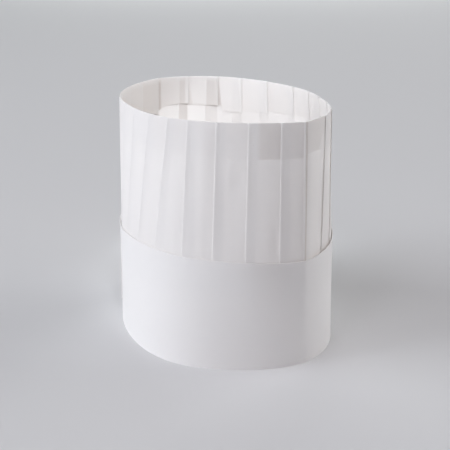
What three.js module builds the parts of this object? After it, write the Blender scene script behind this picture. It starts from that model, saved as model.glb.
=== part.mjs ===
// A paper chef hat. A sheet folded into upright knife pleats makes the crown, open at the top,
// with its upper edge turned to the inside as a hem. A plain strip, closed to a ring, is wrapped
// round the crown's foot as the band that goes round the head.
// Millimetres, +Z up. The hat stands on z = 0. It is stored folded flat, and the two creases of
// that fold lie at the ends of its longer axis, which is Y: the front crease is on the -Y side.
import * as THREE from 'three';

// Sizes of the whole hat.
const HEIGHT = 203; // floor to rim
const BAND_HEIGHT = 96; // floor to the band's upper edge
const PLY = 0.9; // thickness of one layer
const CLEARANCE = 0.7; // free space between the crown and the band
const TUCK = 28; // how far the crown runs down behind the band

// The hem: the crown's upper edge, folded over to the inside.
const HEM_DEPTH = 28; // rim to the hem's lower edge
const HEM_GAP = 0.4; // least distance between wall and hem just under the rim
const HEM_SPREAD = 1.2; // how much farther the hem's lower edge stands off the wall
const FOLD_HEIGHT = 1.8; // height of the rounded fold at the rim

// The knife pleats. Each panel starts at an outer fold and slants inwards, to end under the next.
const PLEAT_COUNT = 24;
const PLEAT_STEP = 1.6; // how far a panel slants inwards from its outer to its inner fold
const STEP_RUN = 0.3; // width of the small slope that stands for a fold's edge

// The band's glued lap, just behind the left side, measured along the band from the front crease.
const LAP_START = 358;
const LAP_LENGTH = 20;
const LAP_RAMP = 7; // length over which the outer layer climbs onto the inner one

// Where the paper turns the front crease, the crown stands back from the band's edge.
const SLACK = { depth: 2.0, at: 28, width: 24 };

// Three outlines seen from above, from a circle with lobes. `girth` is the length all round and
// `crease` the direction of the front crease in degrees. The storage creases raise the outline by
// `corner` mm to a blunt corner there and opposite. A lobe of `count` n has n peaks of `size` mm,
// one of them at `at` degrees: 2 makes an oval, 4 squares it, 1 and 3 make it egg-shaped.
const OUTLINES = {
  rim: {
    z: HEIGHT, girth: 580, crease: -91, corner: 5.8, lobes: [
      { count: 1, size: 4.5, at: 96 }, { count: 2, size: 11.8, at: -96 }, { count: 3, size: 1.8, at: -60 },
      { count: 4, size: 1.4, at: 1 }, { count: 5, size: 1.2, at: -8 },
    ],
  },
  collar: {
    z: BAND_HEIGHT, girth: 588, crease: -90, corner: 5.3, lobes: [
      { count: 1, size: 2.0, at: 68 }, { count: 2, size: 9.1, at: -83 }, { count: 3, size: 0.3, at: -44 },
      { count: 4, size: 1.4, at: 2 }, { count: 6, size: 1.0, at: -28 },
    ],
  },
  foot: {
    z: 0, girth: 586, crease: -82.5, corner: 1.9, lobes: [
      { count: 1, size: 6.0, at: 58 }, { count: 2, size: 6.7, at: -73 }, { count: 3, size: 0.9, at: -24 },
      { count: 4, size: 2.4, at: -75 }, { count: 5, size: 0.4, at: -62 },
    ],
  },
};
const CORNER_WIDTH = 0.22; // radians over which a storage crease's corner falls away

// Where outer folds lie, in mm round the outline from the front crease, at the rim and at the
// band's upper edge, and how far the panel before reaches under each (`lap`). They were laid by
// hand, so they aren't even. Pleats between two rows are spaced evenly, and pleat 24 is pleat 0.
const FOLDS = [
  { pleat: 0, rim: 0, collar: 0, lap: 5.5 },
  { pleat: 1, rim: 24.2, collar: 22.3, lap: 5.5 },
  { pleat: 2, rim: 49, collar: 46.8, lap: 5.5 },
  { pleat: 6, rim: 148, collar: 150, lap: 7 },
  { pleat: 7, rim: 181, collar: 184, lap: 8.5 },
  { pleat: 8, rim: 210, collar: 213.5, lap: 8 },
  { pleat: 9, rim: 234, collar: 239, lap: 8.5 },
  { pleat: 10, rim: 262, collar: 268, lap: 8 },
  { pleat: 11, rim: 290, collar: 296, lap: 7 },
  { pleat: 18, rim: 456.2, collar: 439.4, lap: 5.5 },
  { pleat: 19, rim: 476.5, collar: 463.5, lap: 5.5 },
  { pleat: 20, rim: 493.7, collar: 491.3, lap: 5.5 },
  { pleat: 21, rim: 515.3, collar: 517.1, lap: 5.5 },
  { pleat: 22, rim: 538.5, collar: 542.7, lap: 5.5 },
  { pleat: 23, rim: 561.7, collar: 568.6, lap: 5.5 },
  { pleat: 24, rim: 580, collar: 588, lap: 5.5 },
];

const radians = THREE.MathUtils.degToRad;
const mix = THREE.MathUtils.lerp;

/** Closed outline as a polyline with its running length, started at the front crease. */
class Outline {
  static STEPS = 720;

  constructor({ z, girth, crease, corner, lobes }) {
    this.z = z;
    this.girth = girth;
    const radiusAt = (angle) => {
      let radius = 0;
      for (const { count, size, at } of lobes) radius += size * Math.cos(count * (angle - radians(at)));
      for (const bend of [radians(crease), radians(crease) + Math.PI]) {
        const away = Math.abs(THREE.MathUtils.euclideanModulo(angle - bend + Math.PI, 2 * Math.PI) - Math.PI);
        radius += corner * Math.exp(-away / CORNER_WIDTH);
      }
      return radius;
    };
    // The circle's radius follows from the girth: each pass adds the length that is missing.
    let circle = girth / (2 * Math.PI);
    for (let pass = 0; pass < 4; pass++) {
      this.points = [];
      this.lengths = [0];
      for (let i = 0; i <= Outline.STEPS; i++) {
        const angle = radians(crease) + (2 * Math.PI * i) / Outline.STEPS;
        const radius = circle + radiusAt(angle);
        this.points.push(new THREE.Vector2(radius * Math.cos(angle), radius * Math.sin(angle)));
        if (i > 0) this.lengths.push(this.lengths[i - 1] + this.points[i].distanceTo(this.points[i - 1]));
      }
      circle += (girth - this.lengths[Outline.STEPS]) / (2 * Math.PI);
    }
  }

  /** Point at a length along the outline. */
  pointAt(length) {
    const along = THREE.MathUtils.euclideanModulo(length, this.girth);
    let high = this.lengths.findIndex((value) => value > along);
    if (high < 1) high = Outline.STEPS;
    const share = (along - this.lengths[high - 1]) / (this.lengths[high] - this.lengths[high - 1]);
    return this.points[high - 1].clone().lerp(this.points[high], share);
  }

  /** Point moved inwards, square to the outline, which runs anticlockwise seen from above. */
  insetAt(length, inset) {
    const ahead = this.pointAt(length + 2.5);
    const behind = this.pointAt(length - 2.5);
    const inward = new THREE.Vector2(behind.y - ahead.y, ahead.x - behind.x).normalize();
    return this.pointAt(length).addScaledVector(inward, inset);
  }
}

const rim = new Outline(OUTLINES.rim);
const collar = new Outline(OUTLINES.collar);
const foot = new Outline(OUTLINES.foot);

/** Point on the wall between two outlines at height z, moved inwards by `inset`. */
function wallPoint(upper, upperLength, lower, lowerLength, z, inset) {
  const share = (z - lower.z) / (upper.z - lower.z);
  const point = lower.insetAt(lowerLength, inset).lerp(upper.insetAt(upperLength, inset), share);
  return new THREE.Vector3(point.x, point.y, z);
}

/** Closed ring: one closed loop of points at each station, joined to the next and round to the first. */
function ringGeometry(loops) {
  const size = loops[0].length;
  const positions = loops.flat().flatMap((point) => point.toArray());
  const indices = [];
  for (let i = 0; i < loops.length; i++) {
    const next = (i + 1) % loops.length;
    for (let j = 0; j < size; j++) {
      const above = (j + 1) % size;
      const [a, b, c, d] = [i * size + j, next * size + j, next * size + above, i * size + above];
      indices.push(a, b, c, a, c, d);
    }
  }
  const indexed = new THREE.BufferGeometry();
  indexed.setAttribute('position', new THREE.Float32BufferAttribute(positions, 3));
  indexed.setIndex(indices);
  indexed.computeVertexNormals();
  return indexed;
}

/** Where outer fold `pleat` lies, as lengths round the rim and round the collar, and its lap. */
function foldAt(pleat) {
  const turns = Math.floor(pleat / PLEAT_COUNT);
  const index = pleat - turns * PLEAT_COUNT;
  const after = FOLDS.findIndex((row) => row.pleat > index);
  const [low, high] = [FOLDS[after - 1], FOLDS[after]];
  const share = (index - low.pleat) / (high.pleat - low.pleat);
  return {
    rim: mix(low.rim, high.rim, share) + turns * rim.girth,
    collar: mix(low.collar, high.collar, share) + turns * collar.girth,
    lap: mix(low.lap, high.lap, share),
  };
}

/** How far the crown stands back from the band's edge at a length round the collar. */
function slackAt(length) {
  const away = THREE.MathUtils.euclideanModulo(length - SLACK.at + collar.girth / 2, collar.girth) - collar.girth / 2;
  return SLACK.depth * Math.exp(-((away / SLACK.width) ** 2));
}

/**
 * Crown: pleated wall, rounded fold at the rim and the hem inside it. The sheet was pleated before
 * its edge was turned over, so the hem shows the outer folds, and the wall below it the inner ones.
 */
function crownGeometry() {
  const loops = [];
  const tuckZ = BAND_HEIGHT - TUCK;
  const hemFold = 2 * (PLY + PLEAT_STEP); // inset of the hem's face at an outer fold
  for (let pleat = 0; pleat < PLEAT_COUNT; pleat++) {
    const start = foldAt(pleat);
    const end = foldAt(pleat + 1);
    const width = end.rim - start.rim;
    const lap = start.lap;
    // A station is `run` mm after the outer fold. `inner` is the panel seen from the inside there:
    // the one before this one (-1) as far as its inner fold, and then this one (0).
    const stations = [
      { run: 0, inner: -1 },
      { run: lap, inner: -1 },
      { run: lap + STEP_RUN, inner: 0 },
      { run: mix(lap, width, 0.36), inner: 0 },
      { run: mix(lap, width, 0.7), inner: 0 },
      { run: width - STEP_RUN, inner: 0 },
    ];
    for (const { run, inner } of stations) {
      const share = run / width;
      const rimLength = mix(start.rim, end.rim, share);
      const collarLength = mix(start.collar, end.collar, share);
      const slope = PLEAT_STEP / (width + lap);
      const outerFace = slope * run;
      const innerFace = PLY + (inner < 0 ? mix(slope * width, PLEAT_STEP, run / lap) : slope * run);
      const hemFace = hemFold - outerFace;
      const middle = (outerFace + hemFace) / 2;
      const tucked = PLY + CLEARANCE + slackAt(collarLength);
      const footLength = collarLength * (foot.girth / collar.girth);
      const upperWall = (z, inset) => wallPoint(rim, rimLength, collar, collarLength, z, inset);
      const lowerWall = (z, inset) => wallPoint(collar, collarLength, foot, footLength, z, inset);
      loops.push([
        lowerWall(tuckZ, tucked + outerFace),
        upperWall(BAND_HEIGHT, tucked + outerFace),
        upperWall(HEIGHT - FOLD_HEIGHT, outerFace),
        upperWall(HEIGHT - 0.4 * FOLD_HEIGHT, mix(outerFace, middle, 0.35)),
        upperWall(HEIGHT, middle),
        upperWall(HEIGHT - 0.4 * FOLD_HEIGHT, mix(hemFace, middle, 0.35)),
        upperWall(HEIGHT - FOLD_HEIGHT, hemFace),
        upperWall(HEIGHT - HEM_DEPTH, hemFace + HEM_SPREAD),
        upperWall(HEIGHT - HEM_DEPTH, hemFace + HEM_SPREAD - PLY),
        upperWall(HEIGHT - FOLD_HEIGHT - PLY, innerFace + HEM_GAP),
        upperWall(HEIGHT - FOLD_HEIGHT - PLY, innerFace),
        upperWall(BAND_HEIGHT, tucked + innerFace),
        lowerWall(tuckZ, tucked + innerFace),
      ]);
    }
  }
  return ringGeometry(loops);
}

/** Band: a strip whose end climbs onto its start and is glued there, standing on the floor. */
function bandGeometry() {
  const lapEnd = LAP_START + LAP_LENGTH;
  // Rows: length round the band, and how far its outer and inner faces are inset there.
  const rows = [];
  const plainStations = 144;
  for (let i = 0; i < plainStations; i++) {
    const length = (collar.girth * i) / plainStations;
    if (length < LAP_START - LAP_RAMP - 1 || length > lapEnd + 1) rows.push({ length, outer: 0, inner: PLY });
  }
  rows.push(
    { length: LAP_START - LAP_RAMP, outer: 0, inner: PLY },
    { length: LAP_START - STEP_RUN, outer: -PLY, inner: 0 },
    { length: LAP_START, outer: -PLY, inner: PLY },
    { length: LAP_START + LAP_LENGTH / 3, outer: -PLY, inner: PLY },
    { length: LAP_START + (2 * LAP_LENGTH) / 3, outer: -PLY, inner: PLY },
    { length: lapEnd - STEP_RUN, outer: -PLY, inner: PLY },
    { length: lapEnd, outer: 0, inner: PLY },
  );
  rows.sort((a, b) => a.length - b.length);
  const loops = rows.map(({ length, outer, inner }) => {
    const footLength = length * (foot.girth / collar.girth);
    const wall = (z, inset) => wallPoint(collar, length, foot, footLength, z, inset);
    return [wall(0, outer), wall(BAND_HEIGHT, outer), wall(BAND_HEIGHT, inner), wall(0, inner)];
  });
  return ringGeometry(loops);
}

const hat = new THREE.Group();
hat.name = 'paper_chef_hat';

const crown = new THREE.Mesh(
  crownGeometry(),
  new THREE.MeshStandardMaterial({ color: 0xf3f1ee, roughness: 0.9, metalness: 0, side: THREE.DoubleSide }),
);
crown.name = 'crown';

const band = new THREE.Mesh(
  bandGeometry(),
  new THREE.MeshStandardMaterial({ color: 0xf1efee, roughness: 0.85, metalness: 0, side: THREE.DoubleSide }),
);
band.name = 'band';

hat.add(crown, band);

// The origin is on the floor, under the middle of the whole hat.
const middle = new THREE.Box3().setFromObject(hat).getCenter(new THREE.Vector3());
for (const piece of hat.children) piece.position.set(-middle.x, -middle.y, 0);
hat.updateMatrixWorld(true);

export default hat;
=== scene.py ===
"""A paper chef hat: a knife-pleated crown, open at the top, with a plain band round its foot.

The crown is one thin sheet, pleated and closed to a ring, whose top edge is then turned over to the
inside as a hem. It is drawn as a flat ring of paper with the pleats' path stored on its points, and
a node tree wraps it round three outlines: the rim, the band's upper edge and the foot. The band is
wrapped by the same tree.
"""
import logging
import math
from dataclasses import dataclass, field
from enum import Enum

import bpy
import numpy as np
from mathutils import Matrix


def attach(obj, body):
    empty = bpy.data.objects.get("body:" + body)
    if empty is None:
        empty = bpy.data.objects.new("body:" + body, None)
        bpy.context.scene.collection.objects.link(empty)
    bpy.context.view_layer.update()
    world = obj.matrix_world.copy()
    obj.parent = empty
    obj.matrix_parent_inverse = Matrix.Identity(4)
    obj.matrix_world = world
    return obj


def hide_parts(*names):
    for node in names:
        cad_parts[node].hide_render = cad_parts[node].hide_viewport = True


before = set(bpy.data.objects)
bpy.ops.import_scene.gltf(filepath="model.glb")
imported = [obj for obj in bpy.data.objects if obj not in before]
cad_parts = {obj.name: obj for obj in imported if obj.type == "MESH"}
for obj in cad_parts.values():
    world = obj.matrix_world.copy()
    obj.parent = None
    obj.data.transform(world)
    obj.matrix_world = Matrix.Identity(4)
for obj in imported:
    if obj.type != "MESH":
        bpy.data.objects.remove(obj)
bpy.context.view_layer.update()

LOG = logging.getLogger("hat")
MM = 0.001

HEIGHT = 203 * MM  # floor to rim
BAND_HEIGHT = 96 * MM  # floor to the band's upper edge
TUCK = 28 * MM  # how far the crown runs down behind the band
PLEATS = 24
PLAN_MIDDLE = (3.73 * MM, 2.94 * MM)  # middle of the hat's box, from the outlines' own centre
VIEW_HEADING = math.radians(-35)  # the photo's direction of view, turned from +Y
SHARP_ANGLE = math.radians(42)  # edges that turn further are creases

Color = tuple[float, float, float]


# Shader and geometry maths as Python expressions


class Value:
    """A number socket that turns Python operators into Math nodes."""

    def __init__(self, graph: "Graph", socket: bpy.types.NodeSocket) -> None:
        """Keep the tree and the socket."""
        self.graph = graph
        self.socket = socket

    def _math(self, operation: str, *operands: "Value | float") -> "Value":
        """Add a Math node and return its output."""
        inputs = {index: operand for index, operand in enumerate(operands)}
        return self.graph.value("ShaderNodeMath", {"operation": operation}, inputs)

    def __add__(self, other: "Value | float") -> "Value":
        """Sum."""
        return self._math("ADD", self, other)

    __radd__ = __add__

    def __sub__(self, other: "Value | float") -> "Value":
        """Difference."""
        return self._math("SUBTRACT", self, other)

    def __rsub__(self, other: float) -> "Value":
        """Reflected difference."""
        return self._math("SUBTRACT", other, self)

    def __mul__(self, other: "Value | float") -> "Value":
        """Product."""
        return self._math("MULTIPLY", self, other)

    __rmul__ = __mul__

    def __truediv__(self, other: "Value | float") -> "Value":
        """Quotient."""
        return self._math("DIVIDE", self, other)

    def clamp(self) -> "Value":
        """Keep between 0 and 1."""
        return self.graph.value("ShaderNodeClamp", {}, {"Value": self, "Min": 0.0, "Max": 1.0})


class Graph:
    """A node tree that is built with one method for every kind of node."""

    def __init__(self, tree: bpy.types.NodeTree) -> None:
        """Empty the tree and keep it."""
        tree.nodes.clear()
        self.tree = tree

    def node(self, kind: str, settings: dict | None = None, inputs: dict | None = None) -> bpy.types.Node:
        """Add a node.

        Args:
            kind: The node's type name.
            settings: Attributes of the node, set before its inputs.
            inputs: Values, sockets or Value objects by input name or index.

        Returns:
            The new node.
        """
        node = self.tree.nodes.new(kind)
        for name, value in (settings or {}).items():
            setattr(node, name, value)
        for name, value in (inputs or {}).items():
            target = node.inputs[name]
            source = value.socket if isinstance(value, Value) else value
            if isinstance(source, bpy.types.NodeSocket):
                self.tree.links.new(source, target)
            else:
                target.default_value = source
        return node

    def value(self, kind: str, settings: dict, inputs: dict, output: str | int = 0) -> Value:
        """Add a node and wrap one of its outputs.

        Args:
            kind: The node's type name.
            settings: Attributes of the node.
            inputs: Its input values or links.
            output: The output to wrap.

        Returns:
            The wrapped output.
        """
        return Value(self, self.node(kind, settings, inputs).outputs[output])


# Paper finishes


class Side(Enum):
    """Which sheet of paper a finish is for."""

    CROWN = "crown_paper"
    BAND = "band_paper"


@dataclass(frozen=True)
class PaperFinish:
    """Uncoated white paper that lets some light through.

    Attributes:
        side: The sheet it is for.
        tint: Colour of the clean paper.
        cloud: Colour of its faint clouds.
        crest: Painted highlight colour on a pressed fold's crest, where it catches the light.
        gap: Painted shade colour that gaps, laps and other shaded places are toned towards.
        glow: Colour of the light that comes through.
        through: Share of the light that comes through.
        roughness: Mean roughness.
        specular: Level of the gloss.
        cloud_scale: How fine the clouds are.
        cloud_low: Noise level at which a cloud sets in.
        cloud_contrast: How fast it grows from there.
        cloud_tint: Share of the cloud's colour in a full cloud.
        cloud_relief: Share of the relief that the clouds give.
        cloud_block: How much less light a full cloud lets through.
        fibre_scale: How fine the fibres are.
        fibre_stretch: Their fineness along the sheet, as a share of that across it.
        fibre_tint: Share of the cloud's colour in a fibre.
        fibre_relief: Share of the relief that the fibres give.
        fibre_rough: How far the fibres vary the roughness.
        crest_highlight: Share of the painted highlight colour on a crest.
        bump_height: Height of the relief, in metres.
        bump_strength: How strongly it shows.
    """

    side: Side
    tint: Color = (0.985, 0.972, 0.965)
    cloud: Color = (0.968, 0.952, 0.945)
    # Painted highlight colour, for fold crests.
    crest: Color = (0.99, 0.98, 0.972)
    # Painted shade colour, for gaps, laps and other shaded places.
    gap: Color = (0.62, 0.55, 0.50)
    glow: Color = (0.985, 0.96, 0.935)
    through: float = 0.28
    roughness: float = 0.88
    specular: float = 0.25
    cloud_scale: float = 55.0
    cloud_low: float = 0.42
    cloud_contrast: float = 3.2
    cloud_tint: float = 0.55
    cloud_relief: float = 0.9
    cloud_block: float = 0.05
    fibre_scale: float = 900.0
    fibre_stretch: float = 0.35
    fibre_tint: float = 0.12
    fibre_relief: float = 0.6
    fibre_rough: float = 0.12
    crest_highlight: float = 0.8
    bump_height: float = 0.00006
    bump_strength: float = 0.5

    def material(self) -> bpy.types.Material:
        """Build the material.

        Returns:
            A node material on Object coordinates, the sheet's own UV map and its attributes.
        """
        material = bpy.data.materials.new(self.side.value)
        material.use_nodes = True
        graph = Graph(material.node_tree)
        place = graph.node("ShaderNodeTexCoord").outputs["Object"]
        sheet = graph.node("ShaderNodeUVMap", {"uv_map": "sheet"}).outputs["UV"]
        clouds = graph.value("ShaderNodeTexNoise", {}, {
            "Vector": place, "Scale": self.cloud_scale, "Detail": 4.0, "Roughness": 0.6}, "Fac")
        blotch = ((clouds - self.cloud_low) * self.cloud_contrast).clamp()
        long_way = graph.node("ShaderNodeMapping", {}, {
            "Vector": sheet, "Scale": (self.fibre_stretch, 1.0, 1.0)})
        fibres = graph.value("ShaderNodeTexNoise", {}, {
            "Vector": long_way.outputs["Vector"], "Scale": self.fibre_scale, "Detail": 3.0,
            "Roughness": 0.55}, "Fac")
        # Painted highlight: fold crests are toned towards the crest colour.
        fold = graph.value("ShaderNodeAttribute", {"attribute_name": "fold"}, {}, "Fac")
        grey = blotch * self.cloud_tint + fibres * self.fibre_tint
        base = self._mix(graph, grey, self.tint, self.cloud)
        base = self._mix(graph, fold * self.crest_highlight, base, self.crest)
        # Painted shade: gaps, laps and other shaded places are toned towards the gap colour.
        shade = graph.value("ShaderNodeAttribute", {"attribute_name": "shade"}, {}, "Fac")
        base = self._mix(graph, shade, base, self.gap)
        height = fibres * self.fibre_relief + clouds * self.cloud_relief
        bump = graph.node("ShaderNodeBump", {}, {
            "Strength": self.bump_strength, "Distance": self.bump_height, "Height": height})
        rough = (fibres - 0.5) * self.fibre_rough + self.roughness
        surface = graph.node("ShaderNodeBsdfPrincipled", {}, {
            "Base Color": base, "Roughness": rough, "Normal": bump.outputs["Normal"],
            "Specular IOR Level": self.specular})
        glow = graph.node("ShaderNodeBsdfTranslucent", {}, {"Color": (*self.glow, 1.0)})
        share = self.through - blotch * self.cloud_block
        mixed = graph.node("ShaderNodeMixShader", {}, {
            "Fac": share, 1: surface.outputs["BSDF"], 2: glow.outputs["BSDF"]})
        graph.node("ShaderNodeOutputMaterial", {}, {"Surface": mixed.outputs["Shader"]})
        return material

    @staticmethod
    def _mix(graph: Graph, factor: Value, first: Color | bpy.types.NodeSocket,
             second: Color | bpy.types.NodeSocket) -> bpy.types.NodeSocket:
        """Mix two colours.

        Args:
            graph: The material's tree.
            factor: Share of the second colour.
            first: A colour, or the socket that gives it.
            second: The other, in the same way.

        Returns:
            Socket of the mixed colour.
        """
        node = graph.node("ShaderNodeMix", {"data_type": "RGBA"}, {"Factor": factor})
        for index, color in ((6, first), (7, second)):
            if isinstance(color, tuple):
                node.inputs[index].default_value = (*color, 1.0)
            else:
                graph.tree.links.new(color, node.inputs[index])
        return node.outputs[2]


@dataclass(frozen=True)
class FloorFinish:
    """Plain pale matt floor.

    Attributes:
        color: Its colour.
        roughness: Its roughness.
        specular: Level of its gloss.
    """

    color: Color = (0.74, 0.74, 0.74)
    roughness: float = 0.9
    specular: float = 0.2

    def material(self) -> bpy.types.Material:
        """Build the material.

        Returns:
            A node material of one colour.
        """
        material = bpy.data.materials.new("floor")
        material.use_nodes = True
        graph = Graph(material.node_tree)
        surface = graph.node("ShaderNodeBsdfPrincipled", {}, {
            "Base Color": (*self.color, 1.0), "Roughness": self.roughness,
            "Specular IOR Level": self.specular})
        graph.node("ShaderNodeOutputMaterial", {}, {"Surface": surface.outputs["BSDF"]})
        return material


# Outlines seen from above


@dataclass(frozen=True)
class Lobe:
    """A wave round a circle: `count` peaks of `size` mm, one of them at `at` degrees."""

    count: int
    size: float
    at: float


@dataclass
class Outline:
    """A closed outline that starts at the front storage crease and runs anticlockwise.

    Attributes:
        name: What the outline is.
        girth: Length all round.
        crease: Direction of the front crease in degrees.
        corner: How far the storage creases raise the outline, in mm.
        lobes: Waves that make the circle an oval.
        steps: How many points the outline has.
        corner_width: How far a crease's rise reaches round, in radians.
        rounds: How often the circle is fitted to the girth.
    """

    name: str
    girth: float
    crease: float
    corner: float
    lobes: tuple[Lobe, ...]
    steps: int = 720
    corner_width: float = 0.22
    rounds: int = 4

    def points(self) -> np.ndarray:
        """Work out the outline.

        Returns:
            One row of x and y for each step.
        """
        start = math.radians(self.crease)
        angle = start + np.arange(self.steps) * (2 * math.pi / self.steps)
        wave = np.zeros(self.steps)
        for lobe in self.lobes:
            wave += lobe.size * np.cos(lobe.count * (angle - math.radians(lobe.at)))
        for bend in (start, start + math.pi):
            away = np.abs((angle - bend + math.pi) % (2 * math.pi) - math.pi)
            wave += self.corner * np.exp(-away / self.corner_width)
        circle = self.girth / (2 * math.pi)
        for _ in range(self.rounds):
            radius = circle + wave * MM
            plan = np.stack([radius * np.cos(angle), radius * np.sin(angle)], axis=1)
            length = np.hypot(*(np.roll(plan, -1, axis=0) - plan).T).sum()
            circle += (self.girth - length) / (2 * math.pi)
        return plan - np.array(PLAN_MIDDLE)

    def curve(self) -> bpy.types.Object:
        """Make a closed curve that a node tree can sample.

        Returns:
            The curve's object, which is no part of the hat.
        """
        data = bpy.data.curves.new(f"{self.name}_outline", "CURVE")
        data.dimensions = "3D"
        spline = data.splines.new("POLY")
        plan = self.points()
        spline.points.add(len(plan) - 1)
        flat = np.column_stack([plan, np.zeros(len(plan)), np.ones(len(plan))])
        spline.points.foreach_set("co", flat.ravel())
        spline.use_cyclic_u = True
        guide = bpy.data.objects.new(data.name, data)
        bpy.context.scene.collection.objects.link(guide)
        return guide


RIM = Outline("rim", 580 * MM, -91, 5.8, (
    Lobe(1, 4.5, 96), Lobe(2, 11.8, -96), Lobe(3, 1.8, -60), Lobe(4, 1.4, 1), Lobe(5, 1.2, -8)))
COLLAR = Outline("collar", 588 * MM, -90, 5.3, (
    Lobe(1, 2.0, 68), Lobe(2, 9.1, -83), Lobe(3, 0.3, -44), Lobe(4, 1.4, 2), Lobe(6, 1.0, -28)))
FOOT = Outline("foot", 586 * MM, -82.5, 1.9, (
    Lobe(1, 6.0, 58), Lobe(2, 6.7, -73), Lobe(3, 0.9, -24), Lobe(4, 2.4, -75), Lobe(5, 0.4, -62)))
OUTLINES = (RIM, COLLAR, FOOT)


# Wrapping flat paper round the outlines

LEAST_ROW = 0.01 * MM  # keeps rows that lie at one height apart on the UV map


@dataclass
class FlatPaper:
    """A grid of points on flat paper, each with its place on the hat.

    Every array has one row for each level of the paper and one column for each station along it.

    Attributes:
        name: Name of the finished piece.
        closed: Whether the last station joins the first.
        run_rim: Length round the rim outline.
        run_collar: Length round the collar outline.
        height: Height above the floor.
        plies: Depth under the outermost layer, in layers.
        inset: Further depth, in metres.
        fold: Where the painted highlight goes: 1 on a pressed fold's crest, 0 away from it.
        shade: How strongly painted shade tones the paper, as in a narrow gap or on a lap.
        along: Length along the paper itself, for the UV map.
        keep: Which faces of the grid are there.
    """

    name: str
    closed: bool
    run_rim: np.ndarray
    run_collar: np.ndarray
    height: np.ndarray
    plies: np.ndarray
    inset: np.ndarray
    fold: np.ndarray
    shade: np.ndarray
    along: np.ndarray
    keep: np.ndarray | None = None

    def piece(self) -> bpy.types.Object:
        """Make the flat mesh with its attributes and UV map.

        Returns:
            A new object whose points still lie flat.
        """
        rows, columns = self.height.shape
        spans = columns if self.closed else columns - 1
        row, column = np.meshgrid(np.arange(rows - 1), np.arange(spans), indexing="ij")
        if self.keep is not None:
            row, column = row[self.keep], column[self.keep]
        row, column = row.ravel(), column.ravel()
        after = (column + 1) % columns
        corners = np.stack([
            row * columns + column, row * columns + after,
            (row + 1) * columns + after, (row + 1) * columns + column], axis=1)
        used, corners = np.unique(corners, return_inverse=True)
        corners = corners.reshape(-1, 4)
        flat = np.column_stack([self.along.ravel(), self.height.ravel(), np.zeros(rows * columns)])
        mesh = bpy.data.meshes.new(self.name)
        mesh.from_pydata(flat[used].tolist(), [], corners.tolist())
        stored = {
            "run_rim": self.run_rim % RIM.girth,
            "run_collar": self.run_collar % COLLAR.girth,
            "run_foot": (self.run_collar * (FOOT.girth / COLLAR.girth)) % FOOT.girth,
            "height": self.height, "plies": self.plies, "inset": self.inset, "fold": self.fold,
            "shade": self.shade}
        for name, values in stored.items():
            layer = mesh.attributes.new(name, "FLOAT", "POINT")
            layer.data.foreach_set("value", values.ravel()[used].astype(np.float32))
        self._unwrap(mesh, row, column, columns)
        piece = bpy.data.objects.new(self.name, mesh)
        bpy.context.scene.collection.objects.link(piece)
        return piece

    def _unwrap(self, mesh: bpy.types.Mesh, row: np.ndarray, column: np.ndarray, columns: int) -> None:
        """Give each face its place on the flat paper, in metres.

        Args:
            mesh: The flat mesh.
            row: Row of each face's first corner.
            column: Its column.
            columns: How many columns the grid has.
        """
        total = self.along[0, -1] + (self.along[0, 1] - self.along[0, 0])
        rises = np.abs(np.diff(self.height[:, 0])) + LEAST_ROW
        level = np.concatenate([[0.0], np.cumsum(rises)])
        left = self.along[0, column]
        right = np.where(column + 1 < columns, self.along[0, (column + 1) % columns], total)
        low, high = level[row], level[row + 1]
        corners = np.stack([
            np.stack([left, low], 1), np.stack([right, low], 1),
            np.stack([right, high], 1), np.stack([left, high], 1)], axis=1)
        layer = mesh.uv_layers.new(name="sheet")
        layer.data.foreach_set("uv", corners.ravel().astype(np.float32))


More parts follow.
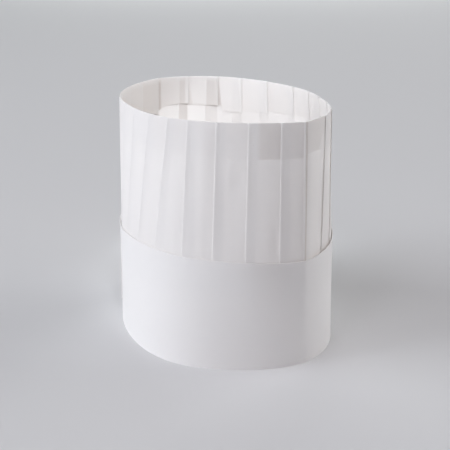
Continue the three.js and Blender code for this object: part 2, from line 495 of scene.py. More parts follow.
@dataclass
class Wrapper:
    """The node tree that wraps flat paper round the three outlines.

    Attributes:
        layer_low: Distance between layers of paper at the band.
        layer_high: Distance between layers of paper at the rim.
        tree: The tree.
        guides: The outlines' curves by name, which it samples.
    """

    layer_low: float = 0.30 * MM
    layer_high: float = 0.20 * MM
    tree: bpy.types.NodeTree = field(init=False)
    guides: dict[str, bpy.types.Object] = field(init=False)

    def __post_init__(self) -> None:
        """Make the guide curves and the tree."""
        self.guides = {outline.name: outline.curve() for outline in OUTLINES}
        self.tree = bpy.data.node_groups.new("wrap_round_outlines", "GeometryNodeTree")
        self._build()

    def _build(self) -> None:
        """Build the tree: sample the outlines, mix them by height and move the points there."""
        face = self.tree.interface
        face.new_socket("Paper", in_out="INPUT", socket_type="NodeSocketGeometry")
        for outline in OUTLINES:
            face.new_socket(f"Outline {outline.name}", in_out="INPUT", socket_type="NodeSocketObject")
        for name in ("Rim height", "Band height", "Layer at band", "Layer at rim"):
            face.new_socket(name, in_out="INPUT", socket_type="NodeSocketFloat")
        face.new_socket("Finish", in_out="INPUT", socket_type="NodeSocketMaterial")
        face.new_socket("Hat", in_out="OUTPUT", socket_type="NodeSocketGeometry")
        graph = Graph(self.tree)
        given = graph.node("NodeGroupInput").outputs

        def stored(name: str) -> Value:
            """Read a number that the flat paper carries."""
            return graph.value("GeometryNodeInputNamedAttribute", {"data_type": "FLOAT"}, {"Name": name})

        height = stored("height")
        rim_height, band_height = Value(graph, given["Rim height"]), Value(graph, given["Band height"])
        above = ((height - band_height) / (rim_height - band_height)).clamp()
        below = (height / band_height).clamp()
        layer_low = Value(graph, given["Layer at band"])
        layer = layer_low + (Value(graph, given["Layer at rim"]) - layer_low) * above
        depth = stored("plies") * layer + stored("inset")
        names = [outline.name for outline in OUTLINES]
        spots = {name: self._spot(graph, given[f"Outline {name}"], stored(f"run_{name}"), depth)
                 for name in names}
        low = self._blend(graph, below, spots["foot"], spots["collar"])
        plan = self._blend(graph, above, low, spots["rim"])
        parts = graph.node("ShaderNodeSeparateXYZ", {}, {0: plan}).outputs
        place = graph.node("ShaderNodeCombineXYZ", {}, {0: parts[0], 1: parts[1], 2: height})
        moved = graph.node("GeometryNodeSetPosition", {}, {
            "Geometry": given["Paper"], "Position": place.outputs[0]})
        real = graph.node("GeometryNodeRealizeInstances", {}, {"Geometry": moved.outputs[0]})
        dressed = graph.node("GeometryNodeSetMaterial", {}, {
            "Geometry": real.outputs[0], "Material": given["Finish"]})
        graph.node("NodeGroupOutput", {}, {"Hat": dressed.outputs[0]})

    @staticmethod
    def _spot(graph: Graph, guide: bpy.types.NodeSocket, run: Value, depth: Value) -> bpy.types.NodeSocket:
        """Point at a length along a guide, moved inwards.

        Args:
            graph: The tree.
            guide: Socket of the outline's object.
            run: Length along it.
            depth: How far inwards.

        Returns:
            Socket of the point.
        """
        outline = graph.node("GeometryNodeObjectInfo", {"transform_space": "ORIGINAL"}, {"Object": guide})
        sample = graph.node("GeometryNodeSampleCurve", {"mode": "LENGTH", "use_all_curves": True}, {
            "Curves": outline.outputs["Geometry"], "Length": run})
        inward = graph.node("ShaderNodeVectorMath", {"operation": "CROSS_PRODUCT"}, {
            0: (0.0, 0.0, 1.0), 1: sample.outputs["Tangent"]})
        unit = graph.node("ShaderNodeVectorMath", {"operation": "NORMALIZE"}, {0: inward.outputs[0]})
        offset = graph.node("ShaderNodeVectorMath", {"operation": "SCALE"}, {
            0: unit.outputs[0], "Scale": depth})
        total = graph.node("ShaderNodeVectorMath", {"operation": "ADD"}, {
            0: sample.outputs["Position"], 1: offset.outputs[0]})
        return total.outputs[0]

    @staticmethod
    def _blend(graph: Graph, factor: Value, first: bpy.types.NodeSocket,
               second: bpy.types.NodeSocket) -> bpy.types.NodeSocket:
        """Mix two points."""
        node = graph.node("ShaderNodeMix", {"data_type": "VECTOR", "clamp_factor": True}, {
            0: factor, 4: first, 5: second})
        return node.outputs[1]

    def wrap(self, flat: bpy.types.Object, finish: bpy.types.Material, thickness: float) -> bpy.types.Object:
        """Wrap flat paper and give it its thickness.

        Args:
            flat: The flat piece.
            finish: Its material.
            thickness: Thickness of the paper.

        Returns:
            The finished piece, a plain mesh at the origin.
        """
        name = flat.name
        wrapping = flat.modifiers.new("wrap", "NODES")
        wrapping.node_group = self.tree
        values = {f"Outline {name}": guide for name, guide in self.guides.items()}
        values |= {"Rim height": HEIGHT, "Band height": BAND_HEIGHT, "Layer at band": self.layer_low,
                   "Layer at rim": self.layer_high, "Finish": finish}
        for item in self.tree.interface.items_tree:
            if item.name in values and item.in_out == "INPUT":
                wrapping[item.identifier] = values[item.name]
        solid = flat.modifiers.new("thickness", "SOLIDIFY")
        solid.thickness = thickness
        solid.offset = 0.0
        solid.use_even_offset = False
        graph = bpy.context.evaluated_depsgraph_get()
        mesh = bpy.data.meshes.new_from_object(flat.evaluated_get(graph))
        old = flat.data
        flat.modifiers.clear()
        flat.data = mesh
        bpy.data.meshes.remove(old)
        mesh.name = name
        mesh.set_sharp_from_angle(angle=SHARP_ANGLE)
        for spare in ("run_rim", "run_collar", "run_foot", "height", "plies", "inset"):
            mesh.attributes.remove(mesh.attributes[spare])
        return flat

    def clear(self) -> None:
        """Take the guide curves out of the scene."""
        for guide in self.guides.values():
            bpy.data.objects.remove(guide)


# Crown

LEAST_STEP = 0.02 * MM  # keeps stations at one place round the rim apart on the UV map
LAP_SOFTNESS = 0.3 * MM  # how far before its edge the painted shade of a lap stops, on the hem
GAP_SOFTNESS = 0.8 * MM  # over which length the painted shade of a gap sets in
FURROW = (0.8 * MM, 2.4 * MM)  # where the painted shade behind a fold's crest starts and ends


@dataclass(frozen=True)
class FoldPlace:
    """Where an outer fold lies round the rim and round the collar, in mm from the front crease.

    Attributes:
        pleat: The pleat's number, anticlockwise from the front crease.
        rim: Length round the rim.
        collar: Length round the band's upper edge.
        gape: How far the fold stands off the wall at mid height.
        lip: How far the fold's lower end stands off inside, on the hem.
        lap: How far the sheet reaches under the fold.
        hem_lap_shade: How strongly painted shade darkens the lap where it is seen on the hem.
        bright_edge: Width of the lap's edge, beside its fold, that is left out of that painted shade, in mm.
        wall_lap_shade: How strongly painted shade darkens the lap where it is seen on the wall's inner side.
        furrow_shade: How strongly painted shade darkens the panel just behind the fold's crest, outside.
    """

    pleat: int
    rim: float
    collar: float
    gape: float = 0.05
    lip: float = 0.05
    lap: float = 5.5
    hem_lap_shade: float = 0.0
    bright_edge: float = 0.0
    wall_lap_shade: float = 0.0
    furrow_shade: float = 0.0


FOLD_PLACES = (
    FoldPlace(0, -1.5, 0, 0.2, furrow_shade=0.55), FoldPlace(1, 26.5, 29, 0.2), FoldPlace(2, 51.5, 51, 0.1),
    FoldPlace(6, 148, 150, lap=7), FoldPlace(7, 181, 184, lap=8.5), FoldPlace(8, 210, 213.5, lap=8),
    FoldPlace(9, 234, 239, lip=0.7, lap=10.5, hem_lap_shade=0.28, wall_lap_shade=0.12),
    FoldPlace(10, 262, 268, lip=0.6, lap=8, hem_lap_shade=0.2, bright_edge=3.0, wall_lap_shade=0.3),
    FoldPlace(11, 291.5, 300, lip=0.8, lap=7),
    FoldPlace(18, 456.2, 439.4), FoldPlace(19, 476.5, 463.5), FoldPlace(20, 493.7, 491.3),
    FoldPlace(21, 515.3, 517.1), FoldPlace(22, 538.5, 542.7), FoldPlace(23, 561.7, 568.6),
    FoldPlace(24, 578.5, 588, 0.2))


@dataclass(frozen=True)
class HemDepth:
    """Depth of the hand-turned hem over one pleat, in mm, at its outer fold and at its far end.

    A `step_at` above 0 is the share of the pleat's width at which the depth changes at once.
    """

    pleat: int
    near: float = 26.5
    far: float = 26.5
    step_at: float = 0.0

    def at(self, share: float) -> float:
        """Give the depth at a place over the pleat.

        Args:
            share: The place as a share of the pleat's width.

        Returns:
            The depth in metres.
        """
        part = min(max(share, 0.0), 1.0) ** 3
        if self.step_at:
            part = float(share > self.step_at)
        return (self.near + (self.far - self.near) * part) * MM


HEM_DEPTHS = {hem.pleat: hem for hem in (
    HemDepth(0, 22.5, 25), HemDepth(4, 24.5, 24.5), HemDepth(5, 24, 25), HemDepth(6, 26, 27),
    HemDepth(7, 29.5, 31), HemDepth(8, 32, 26.5, 0.8), HemDepth(9, 26.5, 26), HemDepth(10, 24.7, 30.5),
    HemDepth(11, 32, 30), HemDepth(12, 30, 28))}


@dataclass(frozen=True)
class Dent:
    """A soft dent in a panel: pleat number, mm from its outer fold, height, reach and depth in mm."""

    pleat: int
    run: float
    height: float
    wide: float
    high: float
    depth: float


DENTS = (
    Dent(22, 20.0, 112, 3.0, 9.0, 0.7), Dent(21, 16.0, 158, 5.0, 8.0, 0.5),
    Dent(21, 10.0, 166, 4.0, 6.0, -0.35), Dent(19, 9.0, 122, 7.0, 12.0, -0.3),
    Dent(20, 13.0, 176, 6.5, 30.0, -0.9), Dent(20, 12.0, 126, 6.0, 20.0, -0.3),
    Dent(18, 11.0, 150, 6.0, 18.0, 0.3))


@dataclass(frozen=True)
class Gap:
    """Painted shade in the gap beside a lip, at the far end of a pleat's panel, on the hem.

    Attributes:
        pleat: The pleat whose panel lies beside the lip.
        top: Width at the rim, in mm.
        bottom: Width at the hem's lower edge, in mm.
        strength: How strongly painted shade tones the paper there.
        panel: The same painted shade, over the whole panel.
        fade: How far the panel's painted shade fades out towards the rim and its own fold.
    """

    pleat: int
    top: float
    bottom: float
    strength: float
    panel: float = 0.0
    fade: float = 0.0


GAPS = {gap.pleat: gap for gap in (
    Gap(4, 2.0, 2.0, 0.05, 0.04), Gap(5, 2.0, 2.0, 0.05, 0.04), Gap(6, 7.0, 7.0, 0.05, 0.04),
    Gap(7, 2.0, 2.0, 0.05), Gap(8, 1.4, 4.6, 0.4), Gap(9, 0.8, 5.2, 0.22),
    Gap(10, 3.6, 4.4, 0.4, 0.2, 0.6), Gap(11, 2.0, 2.0, 0.1, 0.28), Gap(12, 2.0, 2.0, 0.1, 0.16),
    Gap(13, 2.0, 2.0, 0.1, 0.12))}


@dataclass(frozen=True)
class HemShadow:
    """Painted shade where the hem is seen from outside through the wall in front of it.

    Attributes:
        pleat: The pleat whose panel shows it.
        start: Share of the panel's width from which it shows.
        depth: Depth of the hem's lower edge under the rim, in mm.
        strength: How strongly painted shade tones the paper there.
    """

    pleat: int
    start: float
    depth: float
    strength: float


HEM_SHADOWS = {shadow.pleat: shadow for shadow in (
    HemShadow(22, 0.3, 26.7, 0.2), HemShadow(23, 0.0, 26.7, 0.07), HemShadow(0, 0.1, 23.7, 0.14))}


class Part(Enum):
    """The four parts of the sheet's path over one pleat."""

    OUTER_FOLD = 0
    PANEL = 1
    INNER_FOLD = 2
    WAY_BACK = 3


@dataclass(frozen=True)
class Station:
    """One place along the pleated sheet.

    Attributes:
        part: Which part of the path it is on.
        run: Metres from the pleat's outer fold, round the hat.
        layer: Depth under the outermost layer, in layers.
        width: Distance to the next outer fold.
        lap: How far the panel reaches under that fold.
    """

    part: Part
    run: float
    layer: float
    width: float
    lap: float


@dataclass
class Crown:
    """The sheet, pleated first and then turned over to the inside for its hem.

    Attributes:
        layer_rim: Distance between layers of paper at the rim.
        paper: Thickness of the sheet.
        fold_radius: Radius of a pressed fold, in layers.
        fold_reach: How far a fold bulges round the hat.
        turn_radius: Radius of the outermost layer's turn over the rim.
        hem_spread: How much farther the hem's lower edge stands off the wall.
        crest: How far a fold's edge stands proud of its panel.
        crest_width: How wide that edge is.
        hem_crest: Share of the crest that is taken off on the hem.
        behind_band: Distance of the outermost layer behind the band's outer face.
        gape_reach: How far from a fold that stands off its panel follows it.
        rim_gape: Share of a fold's gape that is left at the rim.
        cover_start: How far before the next fold a panel's turn over the rim starts to sink.
        cover_length: Over which length it sinks to its own layer's height.
        near_runs: Places of the stations on a panel, from its own fold.
        far_runs: The same from the next fold.
        lap_step: Distance between the two stations at a lap's edge.
        turn_stations: Stations round a pressed fold, both ends counted.
        wall_rows: Levels up the wall.
        edge_rows: Levels just above the band's edge.
        shadow_rows: Levels under the rim, in pairs, between which the painted shade of a hem behind ends.
        turn_rows: Levels round the turn over the rim, both ends counted.
        hem_rows: Levels down the hem.
        slack_depth: How far the crown stands back from the band's edge at its slackest place.
        slack_at: Where that is, round the collar from the front crease.
        slack_width: How far the slack reaches to each side.
        bow: Least and greatest bow of a panel, in mm.
        ripple: Least and greatest ripple of a panel, in mm.
        ripple_waves: Turns of the ripple over the crown's height, in radians.
        rim_calm: How far under the rim bow and dents fade out.
        seed: Seed of the bows and ripples.
    """

    layer_rim: float
    paper: float = 0.14 * MM
    fold_radius: float = 0.4
    fold_reach: float = 0.8 * MM
    turn_radius: float = 0.52 * MM
    hem_spread: float = 0.1 * MM
    crest: float = 0.27 * MM
    crest_width: float = 1.3 * MM
    hem_crest: float = 0.6
    behind_band: float = 0.8 * MM
    gape_reach: float = 6.0 * MM
    rim_gape: float = 0.12
    cover_start: float = 2.4 * MM
    cover_length: float = 2 * MM
    near_runs: tuple[float, ...] = (0, 0.5 * MM, 1.0 * MM, 1.8 * MM, 3.2 * MM)
    far_runs: tuple[float, ...] = (5.0 * MM, 4.0 * MM, 3.0 * MM, 2.2 * MM, 1.4 * MM, 0.7 * MM, 0.1 * MM)
    lap_step: float = 0.6 * MM
    turn_stations: int = 7
    wall_rows: int = 26
    edge_rows: tuple[float, ...] = (0, 0.8 * MM, 2.0 * MM)
    shadow_rows: tuple[float, ...] = (27.0 * MM, 26.4 * MM, 24.0 * MM, 23.4 * MM)
    turn_rows: int = 9
    hem_rows: int = 9
    slack_depth: float = 2.0 * MM
    slack_at: float = 28 * MM
    slack_width: float = 24 * MM
    bow: tuple[float, float] = (-0.25, 0.35)
    ripple: tuple[float, float] = (0.05, 0.16)
    ripple_waves: float = 9
    rim_calm: float = 8 * MM
    seed: int = 7

    @staticmethod
    def _fold(pleat: int) -> FoldPlace:
        """Look up a pleat's outer fold.

        Args:
            pleat: The pleat's number; from 24 on it counts the first pleats again.

        Returns:
            The fold's place, with every length in metres.
        """
        turn, index = divmod(pleat, PLEATS)
        known = [place.pleat for place in FOLD_PLACES]
        rim, collar = (
            float(np.interp(index, known, [getattr(place, name) for place in FOLD_PLACES])) * MM
            for name in ("rim", "collar"))
        exact = {place.pleat: place for place in FOLD_PLACES}.get(index, FoldPlace(index, 0, 0))
        return FoldPlace(pleat, rim + turn * RIM.girth, collar + turn * COLLAR.girth, exact.gape * MM,
                         exact.lip * MM, exact.lap * MM, exact.hem_lap_shade, exact.bright_edge * MM,
                         exact.wall_lap_shade, exact.furrow_shade)

    def _stations(self, width: float, own: float, lap: float) -> list[Station]:
        """Path of the sheet over one pleat: outer fold, panel, inner fold and the way back.

        Args:
            width: Distance to the next outer fold, round the rim.
            own: Length of the lap under the pleat's own outer fold.
            lap: How far the panel reaches under the next one.

        Returns:
            The stations in the sheet's own order.
        """
        radius, reach, end = self.fold_radius, self.fold_reach, width + lap
        half_turn = np.linspace(-0.5, 0.5, self.turn_stations)[1:-1] * math.pi
        path = [Station(Part.OUTER_FOLD, -math.cos(turn) * reach, radius - radius * math.sin(turn),
                        width, lap) for turn in half_turn]
        near = np.array([*self.near_runs, own - self.lap_step, own])
        far = np.array(self.far_runs)
        runs = np.concatenate([
            near, np.linspace(near[-1], width - far[0], 5)[1:-1], width - far,
            [width + self.lap_step, width + lap / 2, end]])
        # The panel sinks from layer 0 to layer 2, and the way back lies between them.
        path += [Station(Part.PANEL, run, 2.0 * run / end, width, lap) for run in runs]
        path += [Station(Part.INNER_FOLD, end + math.cos(turn) * reach,
                         2.0 - radius - radius * math.sin(turn), width, lap) for turn in half_turn]
        path += [Station(Part.WAY_BACK, width + share * lap, 0.8 + 0.4 * share, width, lap)
                 for share in (1.0, 0.5, 0.0)]
        return path

    def _levels(self) -> tuple[np.ndarray, np.ndarray, np.ndarray]:
        """Levels up the wall, over the rim and down the hem.

        Returns:
            Height on the wall, turn over the rim from 0 to pi, and share of the way down the hem.
        """
        axis = HEIGHT - self.turn_radius - self.paper / 2
        tuck = np.linspace(BAND_HEIGHT - TUCK, BAND_HEIGHT, 4)[:-1]
        wall = np.unique(np.concatenate([
            tuck, BAND_HEIGHT + np.array(self.edge_rows), HEIGHT - np.array(self.shadow_rows),
            np.linspace(BAND_HEIGHT, axis, self.wall_rows)[1:]]))
        turn = np.linspace(0, math.pi, self.turn_rows)[1:-1]
        down = np.linspace(0, 1, self.hem_rows) ** 0.9  # rows a little closer at the lower edge
        height = np.concatenate([wall, np.full(len(turn) + len(down), axis)])
        turned = np.concatenate([np.zeros(len(wall)), turn, np.full(len(down), math.pi)])
        return height, turned, np.concatenate([np.zeros(len(wall) + len(turn)), down])

    def _standing_off(self, station: Station, own: float, following: float) -> float:
        """How far a station follows a fold that stands off.

        Args:
            station: The station.
            own: How far the pleat's own outer fold stands off.
            following: The same for the next pleat's fold, at which the way back ends.

        Returns:
            The distance in metres.
        """
        if station.part is Part.OUTER_FOLD:
            return own
        if station.part is Part.PANEL:
            return own * math.exp(-station.run / self.gape_reach)
        if station.part is Part.WAY_BACK:
            return following * (1 - (station.run - station.width) / station.lap) ** 1.5
        return 0.0

    def build(self, wrapper: Wrapper, finish: PaperFinish) -> bpy.types.Object:
        """Fold the sheet and wrap it.

        Args:
            wrapper: The node tree that wraps paper.
            finish: The paper's finish.

        Returns:
            The crown.
        """
        height, turned, down = self._levels()
        bend = np.cos(turned)
        opened = np.clip((height - BAND_HEIGHT) / (HEIGHT - BAND_HEIGHT), 0, 1)
        swell = self.rim_gape * opened + np.sin(math.pi * opened ** 0.8)
        columns: dict[str, list[np.ndarray]] = {}
        travelled, last = 0.0, 0.0
        for pleat in range(PLEATS):
            here, there, beyond = (self._fold(pleat + step) for step in range(3))
            for station in self._stations(there.rim - here.rim, here.lap, there.lap):
                share = station.run / station.width
                rim_run = here.rim + station.run
                collar_run = here.collar + (there.collar - here.collar) * share
                gape = self._standing_off(station, here.gape, there.gape) * swell
                lip = self._standing_off(station, here.lip, there.lip)
                edge = 0.0
                if station.part is Part.PANEL:
                    edge = math.exp(-((station.run / self.crest_width) ** 2))
                elif station.part is Part.OUTER_FOLD:
                    edge = 1.0
                wall = self.paper / 2 - gape - edge * self.crest * opened ** 0.3
                wall = wall + (1 - opened) * (self.behind_band + self._slack(collar_run))
                hem = 2 * self.turn_radius - wall + down * self.hem_spread + lip * down ** 1.3
                hem = hem - self.hem_crest * edge * self.crest
                rise = self._rise(station)
                inset = np.where(turned == 0, wall, self.turn_radius * (1 - bend) + wall * bend)
                inset = np.where(down > 0, hem, inset)
                depth = HEM_DEPTHS.get(pleat, HemDepth(pleat)).at(share)
                if station.part is Part.WAY_BACK:
                    depth = (depth + HEM_DEPTHS.get(pleat + 1, HemDepth(pleat)).near * MM) / 2
                level = height + rise * np.sin(turned) - down * (depth - HEIGHT + height)
                if station.part in (Part.OUTER_FOLD, Part.PANEL) and share <= 1:
                    inset = inset + self._panel(pleat, station.run, station.width, level)
                else:
                    over = beyond.rim - there.rim
                    inset = inset + self._panel(pleat + 1, station.run - station.width, over, level)
                travelled += abs(rim_run - last) + LEAST_STEP
                last = rim_run
                # fold marks where the painted highlight goes; shade holds the painted shade.
                found = {
                    "run_rim": rim_run, "run_collar": collar_run, "height": level,
                    "plies": station.layer * bend, "inset": inset, "fold": edge,
                    "shade": self._shade(here, there, station, height, down), "along": travelled}
                for key, values in found.items():
                    columns.setdefault(key, []).append(np.broadcast_to(values, height.shape))
        stacked = {key: np.stack(values, axis=1) for key, values in columns.items()}
        piece = wrapper.wrap(FlatPaper("crown_sheet", True, **stacked).piece(), finish.material(),
                             self.paper)
        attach(piece, "root")
        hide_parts("crown")
        return piece

    def _rise(self, station: Station) -> float:
        """Work out a station's turn over the rim: deeper layers turn lower under a lap.

        Args:
            station: The station.

        Returns:
            The turn's height in metres.
        """
        lower = self.turn_radius - station.layer * self.layer_rim - self.paper / 2
        if station.part is Part.PANEL and station.run < station.width:
            before = station.run - station.width + self.cover_start
            covered = min(max(before / self.cover_length, 0), 1)
            return self.turn_radius * (1 - covered) + lower * covered
        return lower

    def _panel(self, pleat: int, run: float, width: float, level: np.ndarray) -> np.ndarray:
        """How far a panel stands back, with all the layers under it: its bow, ripple and dents.

        Args:
            pleat: The panel's number.
            run: Metres from its outer fold.
            width: Distance to the next outer fold.
            level: Heights above the floor.

        Returns:
            The distance in metres at each height; none at the rim.
        """
        random = np.random.default_rng(self.seed + pleat % PLEATS)
        bow, ripple = random.uniform(*self.bow) * MM, random.uniform(*self.ripple) * MM
        phase = random.uniform(0, 2 * math.pi)
        opened = np.clip((level - BAND_HEIGHT) / (HEIGHT - BAND_HEIGHT), 0, 1)
        soft = math.sin(math.pi * min(max(run / width, 0.0), 1.0))
        waves = ripple * np.sin(self.ripple_waves * opened + phase)
        total = soft * (bow * np.sin(math.pi * opened) + waves)
        for dent in DENTS:
            if dent.pleat == pleat % PLEATS:
                across, along = (run / MM - dent.run) / dent.wide, (level / MM - dent.height) / dent.high
                total = total + dent.depth * MM * np.exp(-across ** 2 - along ** 2)
        return total * np.clip((HEIGHT - level) / self.rim_calm, 0, 1)

    @staticmethod
    def _shade(here: FoldPlace, there: FoldPlace, station: Station, height: np.ndarray,
               down: np.ndarray) -> np.ndarray:
        """Painted shade on a panel at a station: the gap beside the next lip, the laps, a hem behind and the
        place behind a crest.

        Args:
            here: The pleat's own outer fold.
            there: The next outer fold.
            station: The station.
            height: Height of each level of the wall.
            down: Share of the way down the hem, for each level; 0 on the wall.

        Returns:
            The painted shade at each level.
        """
        if station.part is not Part.PANEL:
            return np.zeros(len(down))
        hem = here.hem_lap_shade * float(here.bright_edge <= station.run < here.lap - LAP_SOFTNESS)
        gap = GAPS.get(here.pleat)
        if gap is not None:
            wide = (gap.top + (gap.bottom - gap.top) * down) * MM
            near = np.clip((station.run - station.width + wide) / GAP_SOFTNESS, 0, 1)
            share = min(station.run / station.width, 1.0)
            clear = np.clip(share + 0.5 * down - 0.3, 0, 1)  # 0 at the rim, beside the panel's own fold
            across = 1 - gap.fade + gap.fade * clear
            hem = hem + near * gap.strength + gap.panel * across
        wall = np.full(len(down), there.wall_lap_shade * float(station.run > station.width))
        shadow = HEM_SHADOWS.get(here.pleat % PLEATS)
        if shadow is not None and shadow.start < station.run / station.width < 1:
            wall += shadow.strength * (height > HEIGHT - shadow.depth * MM)
        wall = wall + here.furrow_shade * float(FURROW[0] < station.run < FURROW[1])
        return np.where(down > 0, hem, wall)

    def _slack(self, run: float) -> float:
        """How far the crown stands back from the band's edge at a length round the collar."""
        away = (run - self.slack_at + COLLAR.girth / 2) % COLLAR.girth - COLLAR.girth / 2
        return self.slack_depth * math.exp(-((away / self.slack_width) ** 2))


# Band


@dataclass
class Band:
    """The plain strip round the foot, glued in a lap behind its left side.

    Attributes:
        paper: Thickness of the strip.
        lap_start: Where the inner end lies, round the collar from the front crease.
        lap_length: How far the outer end covers it.
        ramp: Length over which the outer end climbs onto the inner one.
        cut_height: Height of the corner that is cut from the outer end.
        cut_length: Length of that corner.
        glue: Gap between the two ends where they are glued.
        free_length: Length of the outer end that isn't glued.
        free_lift: How far its tip stands off.
        curl: How far the upper edge curls out.
        curl_height: Over which height it does.
        bright_edge: Height of the upper edge that gets the painted highlight of a fold's crest.
        ripple: Size of the strip's ripple at its upper edge.
        ripple_length: Length of one wave of it.
        spacing: Distance between stations along the strip.
        rows: Levels up the strip.
        edge_rows: Further levels under its upper edge.
        shade_tone: Strength of a soft painted shade in the strip, beside the front storage crease.
        shade_at: Where that is, along the strip.
        shade_width: How far it reaches to each side.
        shade_low: How far under the upper edge it starts.
        shade_rise: Over which height it sets in.
    """

    paper: float = 0.5 * MM
    lap_start: float = 358 * MM
    lap_length: float = 20 * MM
    ramp: float = 7 * MM
    cut_height: float = 19 * MM
    cut_length: float = 14 * MM
    glue: float = 0.05 * MM
    free_length: float = 6 * MM
    free_lift: float = 0.25 * MM
    curl: float = 0.2 * MM
    curl_height: float = 5 * MM
    bright_edge: float = 0.5 * MM
    ripple: float = 0.10 * MM
    ripple_length: float = 147 * MM
    spacing: float = 2.4 * MM
    rows: int = 22
    edge_rows: tuple[float, ...] = (1.0 * MM, 2.5 * MM, 4.5 * MM)
    shade_tone: float = 0.15
    shade_at: float = 200 * MM
    shade_width: float = 20 * MM
    shade_low: float = 2.0 * TUCK
    shade_rise: float = 1.8 * TUCK

    def build(self, wrapper: Wrapper, finish: PaperFinish) -> bpy.types.Object:
        """Cut the strip and wrap it.

        Args:
            wrapper: The node tree that wraps paper.
            finish: The paper's finish.

        Returns:
            The band.
        """
        total = COLLAR.girth + self.lap_length
        along = np.unique(np.concatenate([
            np.linspace(0, total, int(total / self.spacing)),
            np.linspace(COLLAR.girth - self.ramp, COLLAR.girth, 6), [total - self.cut_length]]))
        level = np.unique(np.concatenate([
            np.linspace(0, BAND_HEIGHT, self.rows), [self.cut_height],
            BAND_HEIGHT - np.array(self.edge_rows)]))
        climb = np.clip((along - (COLLAR.girth - self.ramp)) / self.ramp, 0, 1)
        climb = climb * climb * (3 - 2 * climb)
        lift = np.clip((along - (total - self.free_length)) / self.free_length, 0, 1) ** 2
        inset = self.paper / 2 - climb * (self.paper + self.glue) - lift * self.free_lift
        edge = np.clip((level - (BAND_HEIGHT - self.curl_height)) / self.curl_height, 0, 1) ** 2
        shape = (len(level), len(along))
        height = np.repeat(level[:, None], len(along), axis=1)
        waves = np.sin(along * 2 * math.pi / self.ripple_length + 1.0)[None, :]
        ripple = self.ripple * waves * (height / BAND_HEIGHT)
        middle_row = (level[:-1] + level[1:]) / 2
        middle_column = (along[:-1] + along[1:]) / 2
        # Painted shade: a soft darker place on the strip's upper part, beside the front storage crease.
        upper = np.clip((level - BAND_HEIGHT + self.shade_low) / self.shade_rise, 0, 1)[:, None]
        beside = np.exp(-((along - self.shade_at) / self.shade_width) ** 2)[None, :]
        keep = ~((middle_row[:, None] < self.cut_height)
                 & (middle_column[None, :] > total - self.cut_length))
        run = np.broadcast_to(along + self.lap_start, shape)
        # Painted highlight: the upper edge is toned like a fold's crest.
        bright = (level > BAND_HEIGHT - self.bright_edge).astype(float)[:, None]
        flat = FlatPaper(
            "band_strip", False, run_rim=np.zeros(shape), run_collar=run, height=height,
            plies=np.zeros(shape), inset=inset[None, :] - edge[:, None] * self.curl + ripple,
            fold=np.repeat(bright, len(along), axis=1), shade=self.shade_tone * upper * beside,
            along=np.broadcast_to(along, shape), keep=keep)
        piece = wrapper.wrap(flat.piece(), finish.material(), self.paper)
        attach(piece, "root")
        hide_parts("band")
        return piece


# Studio

NEAR = 1.3  # distance of the small lights, in metres


@dataclass(frozen=True)
class SoftLight:
    """A square soft light that looks at one point of the hat.

    Attributes:
        name: What it is for.
        heading: Degrees anticlockwise from the camera's side of the hat, seen from above.
        rise: Degrees above the floor.
        power: Watts.
        color: Light colour.
        size: Side of the square.
        distance: Metres from the point it looks at.
        spread: Full angle in degrees of the cone that each point of it fills.
        aim: The point it looks at.
    """

    name: str
    heading: float
    rise: float
    power: float
    color: Color
    size: float = 3.7
    distance: float = 6.0
    spread: float = 180.0
    aim: tuple[float, float, float] = (0.0, 0.0, 0.1)

    def place(self) -> None:
        """Add the light to the scene."""
        data = bpy.data.lights.new(self.name, "AREA")
        data.shape = "SQUARE"
        data.size = self.size
        data.energy = self.power
        data.color = self.color
        data.spread = math.radians(self.spread)
        around = VIEW_HEADING - math.pi / 2 + math.radians(self.heading)
        rise = math.radians(self.rise)
        lamp = bpy.data.objects.new(self.name, data)
        lamp.location = (
            self.aim[0] + self.distance * math.cos(rise) * math.cos(around),
            self.aim[1] + self.distance * math.cos(rise) * math.sin(around),
            self.aim[2] + self.distance * math.sin(rise))
        lamp.rotation_euler = (math.pi / 2 - rise, 0.0, around + math.pi / 2)
        bpy.context.scene.collection.objects.link(lamp)


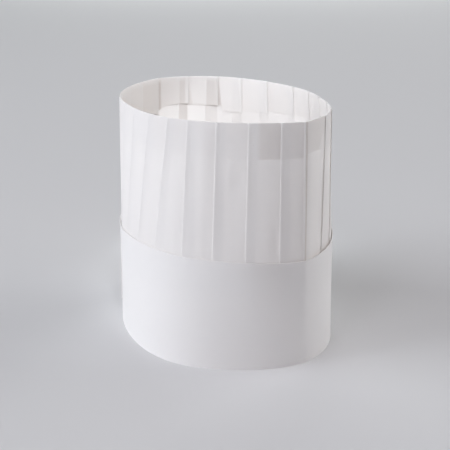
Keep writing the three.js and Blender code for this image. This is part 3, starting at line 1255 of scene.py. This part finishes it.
@dataclass
class Studio:
    """Floor, lights and camera.

    Attributes:
        focal_pixels: Focal length in pixels of the photo's frame.
        frame_pixels: Width of that frame.
        pitch: Camera's downward tilt in degrees.
        camera_distance: Level distance from the outlines' centre to the camera.
        camera_height: Height of the camera above the floor.
        sensor: Width of the camera's sensor, in mm.
        ambient: Strength of the even light from the room.
        room: Colour of that light.
        bounces: How many walls of paper light is followed through.
        floor_reach: How far the floor reaches from the hat to each side.
        lights: Large lights round the hat, and small ones that light its inside from above.
    """

    focal_pixels: float = 786.6
    frame_pixels: int = 450
    pitch: float = 20.35
    camera_distance: float = 633.7 * MM
    camera_height: float = 328.1 * MM
    sensor: float = 36.0
    ambient: float = 0.01
    room: Color = (0.97, 0.98, 1.0)
    bounces: int = 20
    floor_reach: float = 30.0
    lights: tuple[SoftLight, ...] = (
        SoftLight("left", -80, 10, 191, (0.894, 0.941, 1.0)),
        SoftLight("upper_left", -80, 35, 70, (0.915, 0.955, 1.0)),
        SoftLight("front_left", -50, 45, 71, (0.93, 0.935, 1.0)),
        SoftLight("front", -15, 50, 77, (0.976, 0.92, 1.0)),
        SoftLight("right", 75, 40, 49, (1.0, 0.968, 0.968)),
        SoftLight("back_right", 110, 20, 145, (0.974, 0.982, 1.0)),
        SoftLight("behind", 180, 15, 107, (0.954, 0.988, 1.0)),
        SoftLight("opening", 15, 62, 0.0190, (0.92, 0.985, 1.0), 0.13, NEAR, 7.0, (0.0, 0.0, 0.17)),
        SoftLight("inside_left", 8, 62, 0.0112, (0.95, 0.985, 1.0), 0.07, NEAR, 4.0, (0.014, 0.098, 0.14)),
        SoftLight("inside_back", 10, 60, 0.0065, (0.94, 0.99, 1.0), 0.10, NEAR, 5.0, (0.045, 0.08, 0.15)),
        SoftLight("inside_right", -20, 58, 0.0046, (0.92, 0.995, 1.0), 0.10, NEAR, 5.0, (0.08, 0.04, 0.15)),
    )

    def build(self) -> None:
        """Add everything around the hat."""
        self._floor()
        self._world()
        for light in self.lights:
            light.place()
        self._camera()
        scene = bpy.context.scene
        scene.view_settings.view_transform = "Standard"
        scene.cycles.max_bounces = self.bounces
        scene.cycles.diffuse_bounces = self.bounces // 2
        scene.cycles.transmission_bounces = self.bounces
        scene.cycles.use_light_tree = False  # it gives the small narrow lights too few samples

    def _floor(self) -> None:
        """Lay a wide plain floor."""
        mesh = bpy.data.meshes.new("floor")
        far = self.floor_reach
        corners = [(-far, -far, 0), (far, -far, 0), (far, far, 0), (-far, far, 0)]
        mesh.from_pydata(corners, [], [(0, 1, 2, 3)])
        mesh.materials.append(FloorFinish().material())
        floor = bpy.data.objects.new("floor", mesh)
        bpy.context.scene.collection.objects.link(floor)

    def _world(self) -> None:
        """Fill the room with even soft light."""
        world = bpy.data.worlds.new("room")
        world.use_nodes = True
        graph = Graph(world.node_tree)
        room = graph.node("ShaderNodeBackground", {}, {
            "Color": (*self.room, 1.0), "Strength": self.ambient})
        graph.node("ShaderNodeOutputWorld", {}, {"Surface": room.outputs["Background"]})
        bpy.context.scene.world = world

    def _camera(self) -> None:
        """Put the camera where the photo was taken from."""
        data = bpy.data.cameras.new("camera")
        data.sensor_width = self.sensor
        data.lens = self.focal_pixels / self.frame_pixels * self.sensor
        camera = bpy.data.objects.new("camera", data)
        camera.location = (
            self.camera_distance * math.sin(VIEW_HEADING) - PLAN_MIDDLE[0],
            -self.camera_distance * math.cos(VIEW_HEADING) - PLAN_MIDDLE[1],
            self.camera_height)
        camera.rotation_euler = (math.radians(90 - self.pitch), 0.0, VIEW_HEADING)
        bpy.context.scene.collection.objects.link(camera)
        bpy.context.scene.camera = camera


def main() -> None:
    """Build the hat and the studio, and report each piece."""
    logging.basicConfig(level=logging.INFO, format="%(name)s: %(message)s")
    wrapper = Wrapper()
    parts = ((Crown(wrapper.layer_high), PaperFinish(Side.CROWN)),
             (Band(), PaperFinish(Side.BAND, through=0.15)))
    for part, finish in parts:
        piece = part.build(wrapper, finish)
        LOG.info("%s: %d faces", piece.name, len(piece.data.polygons))
    wrapper.clear()
    Studio().build()


if __name__ == "__main__":
    main()
